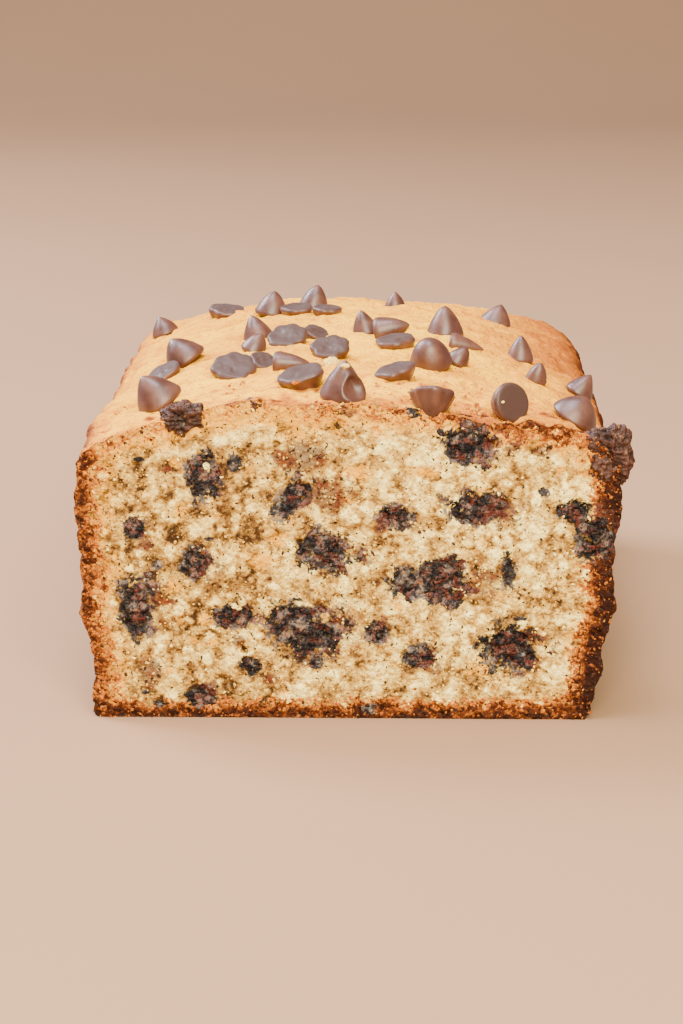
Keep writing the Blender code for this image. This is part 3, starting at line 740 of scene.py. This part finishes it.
# The cut face fills the crust's front edge: each point blends the four sides of that edge (a Coons patch). It
# dips behind each piece of torn chocolate, which has the same relief, so that the two meet without a step.
def makeCutFace(edge):
    s = faceForm
    wallCells, topCells = cake["wallCells"], cake["topCells"]
    left = resampled(edge[:wallCells + 1], s["rows"])
    top = resampled(edge[wallCells:wallCells + topCells + 1], s["columns"])
    right = resampled(edge[wallCells + topCells:2 * wallCells + topCells + 1][::-1], s["rows"])
    across = np.linspace(0, 1, s["columns"])[None, :, None]
    up = np.linspace(0, 1, s["rows"])[:, None, None]
    bottom = left[0] * (1 - across) + right[0] * across
    grid = ((1 - up) * bottom + up * top[None] + (1 - across) * left[:, None] + across * right[:, None]
            - (1 - up) * ((1 - across) * left[0] + across * right[0])
            - up * ((1 - across) * left[-1] + across * right[-1]))
    x, z = grid[..., 0], grid[..., 2]
    marks = cutMarks(x, z)
    core = markMask(x, z, solidMarks() * np.array([1, 1, s["rim"], s["rim"]]), 0 * x, 0.05)
    fromLeft = x - np.interp(z, left[:, 2], left[:, 0])
    fromRight = np.interp(z, right[:, 2], right[:, 0]) - x
    fromTop = np.interp(x, top[:, 0], top[:, 2]) - z
    edgeIn = np.minimum(np.minimum(fromLeft, fromRight), np.minimum(fromTop, z))
    patchy = np.clip(0.55 + 0.75 * layeredNoise(pointArray(x, 0.031, z), 0.0130, 3, 171), 0.15, 1.1)
    browner = 0.08 + 0.42 * patchy + 0.45 * smoothStep(0.012, 0.034, x)
    brown = np.zeros_like(x)
    for away, depth, strength in ((fromLeft, *s["leftRind"]), (fromRight, *s["rightRindWithShade"]),
                                  (z, *s["footRind"]), (fromTop, s["topRind"], browner)):
        away = away + s["ragged"] * marks["ragged"]
        brown = np.maximum(brown, strength * smoothStep(depth * 1.3, 0.0, away))
    ragged = s["goldRagged"] * marks["ragged"]
    gold = 0.95 * smoothStep(*s["topGold"], fromTop + ragged)
    gold = np.maximum(gold, 0.7 * smoothStep(*s["sideGold"], np.minimum(fromLeft, fromRight) + ragged))
    marks["orange"] = np.maximum(marks["orange"], gold)
    out = marks["out"] - s["recess"] * core
    y = grid[..., 1] + smoothStep(0.0, 0.0009, edgeIn) * (cutY - out - grid[..., 1])
    grid = pointArray(x, y, z)
    addPiece("cakeCrumb", grid + cake["settle"], gridFaces(*grid.shape[:2]), crumbMaterial, ["loaf"],
             {"brown": brown, **{name: marks[name] for name in markNames}})
    return grid, edgeIn, brown, marks["chocolate"], marks["red"]


faceGrid, faceEdge, faceRind, faceChocolate, faceRed = makeCutFace(crustPoints[0])
print("cut face made")

# Chips on the crust, the same as their solids: direction of the tip, diameter and height (mm).
topChips = [
    ((-0.55, -0.10, 0.80), 11.4, 8.0), ((-0.58, 0.00, 0.78), 10.4, 7.0), ((0.45, 0.20, -0.85), 9.4, 6.0),
    ((-0.35, 0.00, 0.92), 7.6, 5.0), ((-0.10, 0.10, -0.98), 10.4, 6.4), ((-0.30, 0.10, 0.93), 8.0, 6.4),
    ((0.15, 0.00, 0.97), 9.0, 6.4), ((0.20, 0.00, 0.96), 7.8, 6.4), ((0.05, 0.08, -0.99), 9.0, 6.0),
    ((-0.05, 0.05, -0.99), 8.0, 5.6), ((0.12, 0.42, -0.89), 10.4, 6.6), ((-0.30, 0.25, -0.90), 7.2, 5.2),
    ((0.45, 0.00, 0.85), 6.6, 5.4), ((0.05, 0.46, -0.88), 11.2, 6.6), ((-0.25, 0.34, -0.88), 7.4, 5.6),
    ((0.93, -0.15, 0.02), 6.2, 8.4), ((0.08, 0.42, -0.90), 9.6, 6.2), ((0.26, 0.14, -0.955), 11.6, 6.6),
    ((0.06, -0.15, 0.98), 10.6, 9.0), ((-0.25, 0.00, 0.96), 7.4, 6.4), ((0.88, -0.15, 0.25), 7.6, 8.4),
    ((0.12, 0.08, -0.98), 10.6, 6.4), ((0.00, 0.00, 1.00), 6.0, 5.0), ((0.00, 0.05, 1.00), 9.2, 7.8),
    ((0.93, -0.10, -0.15), 5.8, 8.4), ((-0.15, -0.30, 0.94), 10.2, 7.2), ((0.55, 0.00, 0.83), 5.8, 4.8),
    ((0.25, 0.12, -0.95), 9.8, 6.0), ((-0.06, -0.44, -0.90), 10.4, 6.4), ((0.30, 0.00, 0.95), 8.4, 5.4),
    ((0.05, 0.00, 1.00), 7.0, 6.6), ((0.25, -0.20, 0.93), 5.4, 5.0), ((0.55, 0.00, 0.83), 7.2, 5.8),
    ((-0.58, 0.76, -0.28), 9.4, 7.0), ((0.50, -0.12, 0.86), 11.0, 5.8)]
chipForm = {"round": 64, "along": 36, "base": 0.28, "edge": 0.16, "dentTurn": -0.9,
            "outline": ((0, 1), (0.22, 0.86), (0.64, 0.52), (1, 0.14), (0.95, 0)),
            "upturned": {"lumpy": 0.00065, "wavy": 0.09, "angular": 0.09},
            "upright": {"lumpy": 0.0001, "wavy": 0.03, "angular": 0.0}}
hoodedChip, domedChip = 19, 26


# A chip's turn, and the middle of its base: the solid's outline, turned in nine steps, has to fill the
# node's box.
def chipPlace(node, tip, diameter, height):
    turn = np.array(Vector((0, 0, 1)).rotation_difference(Vector(tip).normalized()).to_matrix())
    outline = np.array(chipForm["outline"])
    radius = 0.5 * diameter * outline[:, :1]
    rise = height * outline[:, 1:]
    angle = np.radians(40 * np.arange(9))
    solid = pointArray(radius * np.cos(angle), radius * np.sin(angle), rise).reshape(-1, 3) @ turn.T
    return turn, nodeBox(node)[0] - 0.5 * (solid.min(axis=0) + solid.max(axis=0))


# A drop: radius (1 - s)^power (1 + s/4) up its flank s, over a rounded rim and a nearly flat base. The form
# says what is uneven: blunt (0 to 1.5) rounds the tip, lumpy is the height of the base's bumps, wavy bends
# the outline, corners and angular cut it to a rounded polygon, and dent is the depth of a hollow in the
# flank, with a raised lip round it.
def chipSurface(diameter, height, seed, form):
    s = chipForm
    way = np.linspace(0, 1, s["along"])[:, None]
    turn = np.linspace(0, 2 * np.pi, s["round"], endpoint=False)[None]
    onBase = way < s["base"]
    climb = 1 - (1 - np.clip((way - s["base"]) / (1 - s["base"]), 0, 1)) ** 1.5
    flankUp = np.clip((climb - 0.10) / 0.90, 0, 1)
    body = (1 - flankUp) ** (0.88 - 0.26 * form["blunt"]) * (1 + 0.25 * flankUp)
    rim = 1 - 0.08 * np.clip(1 - climb / s["edge"], 0, 1) ** 2
    radius = np.where(onBase, 0.92 * way / s["base"], body * rim)
    r, z = 0.5 * diameter * radius, height * np.where(onBase, 0, climb)
    points = pointArray(r * np.cos(turn), r * np.sin(turn), z + 0 * turn)
    where = points + np.array([seed * 0.013, seed * 0.007, 0])
    outline = pointArray(0.004 * np.cos(turn) + seed * 0.011, 0.004 * np.sin(turn), 0.0)
    swell = 1 + form["wavy"] * smoothNoise(outline, 0.0034, 7) + 0.02 * smoothNoise(where, 0.0035, 9)
    swell = swell - form["angular"] * np.abs(np.cos(0.5 * form["corners"] * turn + seed)) ** 3
    points[..., :2] *= swell[..., None]
    lumps = form["lumpy"] * layeredNoise(where, 0.0034, 3, 13)
    lumps = lumps * smoothStep(s["base"], 0.5 * s["base"], way) - 0.0002 * (1 - way)
    points[..., 2] += np.where(onBase, lumps, 0)
    flank = np.where(onBase, 0, np.sin(np.pi * np.clip(climb, 0, 1)))
    points[..., 2] += 0.00018 * flank * smoothNoise(where, 0.0022, 17)
    aside = np.hypot((np.mod(turn - s["dentTurn"] + np.pi, 2 * np.pi) - np.pi) / 0.55, (climb - 0.42) / 0.24)
    dent = form["dent"] * (0.45 * np.exp(-((aside - 1.25) / 0.35) ** 2) - np.exp(-aside ** 4)) * ~onBase
    points[..., 0] += dent * np.cos(turn)
    points[..., 1] += dent * np.sin(turn)
    base = np.broadcast_to(smoothStep(s["base"] * 1.15, s["base"] * 0.9, way), points.shape[:2])
    return points, base


def makeChips():
    surfaces = []
    for index, (tip, diameter, height) in enumerate(topChips, 1):
        node = "top_chip_%02d" % index
        diameter, height = 0.001 * diameter, 0.001 * height
        turn, place = chipPlace(node, tip, diameter, height)
        form = {"blunt": 1.5 if index == domedChip else 0.2 + 0.7 * ((index * 0.37) % 1),
                "corners": 5 + index % 3, "dent": 0.0015 if index == hoodedChip else 0.0,
                **chipForm["upturned" if tip[2] < -0.5 else "upright"]}
        points, base = chipSurface(diameter, height, index, form)
        points = points @ turn.T + place
        addPiece("topChip%02d" % index, points + cake["settle"],
                 gridFaces(*points.shape[:2], closed=True, flip=True), chipMaterial, [node],
                 {"base": base}, weld=0.000003)
        surfaces.append(points.reshape(-1, 3))
    return np.concatenate(surfaces)


chipPoints = makeChips()
print("chips made")

tornForm = {"round": 96, "front": 38, "back": 8, "tuck": 0.0001, "behind": 0.0020}


# Ridges of torn chocolate from 0 to 1: 1 - |noise| of three sizes.
def tornRidges(where, size, seed):
    ridges = [1 - np.abs(smoothNoise(where, size / 2 ** n, seed + 7 * n)) for n in range(3)]
    return (0.5 * ridges[0] + 0.3 * ridges[1] + 0.2 * ridges[2] - 0.35) / 0.6


# Torn chocolate: a ball, its front pressed flat to the cut with the cut's own relief, broken by ridges.
def makeTorn():
    s = tornForm
    for index, node in enumerate(tornNodes, 1):
        (x, middleY, z), (width, depth, height) = nodeBox(node)
        deep = middleY + 0.5 * depth - cutY
        way = np.concatenate([np.linspace(0, 0.5, s["front"], endpoint=False),
                              np.linspace(0.5, 1, s["back"])])
        turn = np.linspace(0, 2 * np.pi, s["round"], endpoint=False)
        ring = np.where(way < 0.5, 2 * way, np.sin(np.pi * np.clip(way, 0, 1)))[:, None]
        outward = pointArray(np.cos(turn), 0, np.sin(turn))[None]
        outline = 1 + 0.04 * smoothNoise(outward * 0.004 + index * 0.01, 0.0030, 3)[..., None]
        flat = outward * ring[..., None] * outline
        px, pz = x + 0.5 * width * flat[..., 0], z + 0.5 * height * flat[..., 2]
        marks = cutMarks(px, pz)
        ridge = tornRidges(pointArray(px, 0.02 * index, pz), 0.0024, 201)
        rim = smoothStep(faceForm["rim"] - 0.10, faceForm["rim"], ring)
        shape = (0.0011 * (ridge - 0.5) - 0.0004) * marks["chocolate"] * (1 - rim)
        front = cutY - marks["out"] - shape + s["tuck"] * rim
        back = cutY + s["behind"] + (deep - s["behind"]) * -np.cos(np.pi * np.clip(way, 0.5, 1))[:, None]
        py = np.where((way < 0.5)[:, None], np.minimum(front, cutY + s["behind"]), back + 0 * front)
        points = pointArray(px, py, pz) + cake["settle"]
        shown = {"brown": 0 * px, **{name: marks[name] for name in markNames}}
        addPiece("cutChip%02d" % index, points, gridFaces(*points.shape[:2], closed=True), tornMaterial,
                 [node], shown, weld=0.000003)


makeTorn()
print("torn chocolate made")

# Broken chunks at the cut edge: the piece for each node, its grid, and its ridges in metres.
chunks = {"corner_chunk": "cornerChunk", "edge_chunk": "edgeChunk", "edge_flake": "edgeFlake"}
chunkForm = {"rows": 96, "round": 140, "ridgeSize": 0.0020, "ridge": 0.0016}


# A chunk: a boxy ball (its points pulled out by the 4th-power norm), pushed in and out by noise and ridges.
def makeChunks():
    s = chunkForm
    for number, (node, name) in enumerate(chunks.items()):
        rise = np.linspace(0, np.pi, s["rows"])[:, None]
        turn = np.linspace(0, 2 * np.pi, s["round"], endpoint=False)[None]
        ball = pointArray(np.sin(rise) * np.cos(turn), np.sin(rise) * np.sin(turn), np.cos(rise) + 0 * turn)
        boxy = ball / ((ball ** 4).sum(axis=-1, keepdims=True) ** 0.25) ** 0.75
        seed = 5.0 + number
        middle, sizes = nodeBox(node)
        sizes = 0.5 * sizes
        ridge = tornRidges(ball * sizes + seed, s["ridgeSize"], 221)
        swell = 0.92 + 0.26 * smoothNoise(ball + seed, 0.6, 241)
        points = boxy * (sizes * swell[..., None] + s["ridge"] * (ridge[..., None] - 0.70))
        points = points + middle + cake["settle"]
        # The ridge mark also sets the painted shade in the cracks and the painted highlight on the ridges.
        addPiece(name, points, gridFaces(*points.shape[:2], closed=True, flip=True), chunkMaterial, [node],
                 {"ridge": np.clip(ridge, 0, 1)}, weld=0.000003)


makeChunks()
print("chunks made")


# Corners and faces of an icosphere of radius 1, split as often as asked.
def grainTemplate(subdivisions):
    shape = bmesh.new()
    bmesh.ops.create_icosphere(shape, subdivisions=subdivisions, radius=1.0)
    points = np.array([v.co[:] for v in shape.verts])
    faces = np.array([[v.index for v in f.verts] for f in shape.faces])
    shape.free()
    return points, faces


# Copies the template to each place: sizes along three turned axes, corners pushed in and out at random.
def scatterGrains(name, places, radii, tones, random):
    points, faces = grainTemplate(1)
    count = len(places)
    turns = np.linalg.qr(random.normal(size=(count, 3, 3)))[0]
    scales = radii[:, None] * random.uniform(0.55, 1.35, (count, 3))
    jitter = random.uniform(0.6, 1.3, (count, len(points), 1))
    shaped = np.einsum("npk,nkj->npj", points[None] * jitter * scales[:, None], turns) + places[:, None]
    shaped[..., 2] = np.maximum(shaped[..., 2], 0.0)
    allFaces = (faces[None] + (np.arange(count) * len(points))[:, None, None]).reshape(-1, 3)
    tone = np.repeat(tones, len(points))
    addPiece(name, shaped + cake["settle"], allFaces, grainMaterial, (), {"tone": tone},
             smooth=False)


# Loose crumbs: how many on the cut and on the crust, their least radius and spread (m), and how far they lie.
grains = {"onCut": 5200, "onCrust": 420, "least": 0.00016, "cutSpread": 0.00034, "crustSpread": 0.0004,
          "scatter": 0.00012, "acrossHalf": 0.057, "start": 0.0004, "along": 0.030}


# Crumbs that the knife left on the cut, more of them along the crust and on the torn chocolate; crumbs on the
# crust behind the cut.
def makeGrains():
    s = grains
    random = np.random.default_rng(20240611)
    flatEdge, flatRind = faceEdge.ravel(), np.clip(faceRind.ravel(), 0, 1)
    flatCore, flatRed = faceChocolate.ravel(), faceRed.ravel()
    spots = faceGrid.reshape(-1, 3)
    weight = 0.6 + 1.0 * flatRind + 0.7 * flatRed - 0.5 * np.clip(flatCore, 0, 1)
    chosen = random.choice(len(spots), s["onCut"], replace=False, p=weight / weight.sum())
    radii = s["least"] + s["cutSpread"] * random.random(len(chosen)) ** 2.0
    places = spots[chosen] + random.normal(0, s["scatter"], (len(chosen), 3))
    places[:, 1] += 0.25 * radii
    inset = np.clip(radii - flatEdge[chosen], 0, None)
    places[:, 0] -= np.sign(places[:, 0]) * 0.4 * inset
    tones = random.normal(0.16, 0.10, len(chosen)) + flatRind[chosen] * random.uniform(0.4, 0.8, len(chosen))
    dark = random.random(len(chosen)) < 0.08 + 0.4 * flatRed[chosen]
    tones = np.where(dark, random.uniform(0.7, 1.0, len(chosen)), tones)
    scatterGrains("faceCrumbs", places, radii, np.clip(tones, 0, 1), random)
    count = s["onCrust"]
    x = random.uniform(-s["acrossHalf"], s["acrossHalf"], count)
    fromCut = s["start"] + s["along"] * random.random(count) ** 2.2
    radii = s["least"] + s["crustSpread"] * random.random(count) ** 2
    z = crustHeight(x, cutY + fromCut) + 0.1 * radii
    tones = np.clip(random.normal(0.42, 0.12, count), 0, 0.8)
    scatterGrains("crustCrumbs", pointArray(x, cutY + fromCut, z), radii, tones, random)


# Clumps of crumb that lie on the crust and its chips, the last a tiny pale bit on a chip: pixel in the
# photograph, sizes (mm) and tone.
topClumps = [((328, 362), (3.6, 2.8, 2.8), 0.10), ((347, 363), (2.0, 1.6, 1.2), 0.12),
             ((293, 384), (1.0, 0.7, 0.6), 0.54), ((300, 382), (1.2, 0.7, 0.6), 0.58),
             ((505, 400), (0.8, 0.6, 0.6), 0.06)]
clumpForm = {"noiseSize": 0.0020, "noise": 0.0024, "cellSize": 0.0010, "cells": 0.0014, "biggest": 0.0036}


# A clump: a split icosphere scaled to its sizes, its points pushed in and out by noise and by cells.
def makeClumps(ground):
    s = clumpForm
    ball, faces = grainTemplate(4)
    rows = np.array([(*seenOn(ground, pixel), *(0.001 * size for size in sizes), tone)
                     for pixel, sizes, tone in topClumps])
    points = ball[None] * 0.5 * rows[:, None, 3:6] + rows[:, None, 0:3]
    shift = layeredNoise(points, s["noiseSize"], 3, 311)
    near = cellNoise(points, s["cellSize"], 321)[0]
    spread = 0.3 * rows[:, None, 3] / s["biggest"]
    push = spread * (s["noise"] * shift + s["cells"] * (1 - 1.5 * near ** 2))
    points = points + ball[None] * push[..., None]
    allFaces = (faces[None] + (np.arange(len(rows)) * len(ball))[:, None, None]).reshape(-1, 3)
    tone = np.repeat(rows[:, 6], len(ball))
    addPiece("crumbClumps", points + cake["settle"], allFaces, grainMaterial, (), {"tone": tone})


makeGrains()
makeClumps(np.concatenate([crustPoints.reshape(-1, 3), chipPoints]))
print("crumbs made")

# A pale studio floor, a broad window to the upper left and behind, and a soft fill for the cut face.
studio = {"floor": "9C7C60", "floorShade": "98785C", "cloudSize": 300.0, "world": "FFF0E0",
          "worldStrength": 0.80, "sweep": 0.9, "back": 1.3,
          "lights": (("windowLight", (-0.95, 0.50, 0.95), 0.6, 52.0, "F2F2FF"),
                     ("ceilingLight", (-0.15, -0.20, 1.25), 0.5, 24.0, "F6F2FF"),
                     ("fillLight", (0.15, -1.20, 0.85), 0.8, 62.0, "FFF1D0"))}


def makeStudio(s):
    bend = np.linspace(0, 0.5 * np.pi, 24)
    profileY = np.concatenate([[-4.0], s["back"] + s["sweep"] * np.sin(bend), [s["back"] + s["sweep"]]])
    profileZ = np.concatenate([[0.0], s["sweep"] * (1 - np.cos(bend)), [4.0]])
    sheet = np.stack([pointArray(x, profileY, profileZ) for x in (-5.0, 5.0)], axis=1)
    mesh = bpy.data.meshes.new("studioFloor")
    mesh.from_pydata(sheet.reshape(-1, 3).tolist(), [], gridFaces(len(profileY), 2).tolist())
    mesh.polygons.foreach_set("use_smooth", np.ones(len(mesh.polygons), dtype=bool))
    floor = bpy.data.objects.new("studioFloor", mesh)
    bpy.context.scene.collection.objects.link(floor)
    material, add = newMaterial("paleStudioPaper")
    grain = noiseFactor(add, s["cloudSize"], 2.0, 0.2, 0.8)
    colour = add("Mix", {0: grain, 6: hexColour(s["floor"]), 7: hexColour(s["floorShade"])}, 2,
                 data_type="RGBA")
    finishMaterial(add, {"Base Color": colour, "Roughness": 0.9, "Specular IOR Level": 0.1})
    mesh.materials.append(material)
    world = bpy.data.worlds.new("softRoom")
    world.use_nodes = True
    world.node_tree.nodes["Background"].inputs[0].default_value = hexColour(s["world"])
    world.node_tree.nodes["Background"].inputs[1].default_value = s["worldStrength"]
    bpy.context.scene.world = world
    for name, place, size, power, colour in s["lights"]:
        data = bpy.data.lights.new(name, "AREA")
        data.energy, data.size = power, size
        data.color = hexColour(colour)[:3]
        lamp = bpy.data.objects.new(name, data)
        lamp.location = place
        lamp.rotation_euler = (Vector((0, 0, 0.04)) - Vector(place)).to_track_quat("-Z", "Y").to_euler()
        bpy.context.scene.collection.objects.link(lamp)


makeStudio(studio)
print("studio made")
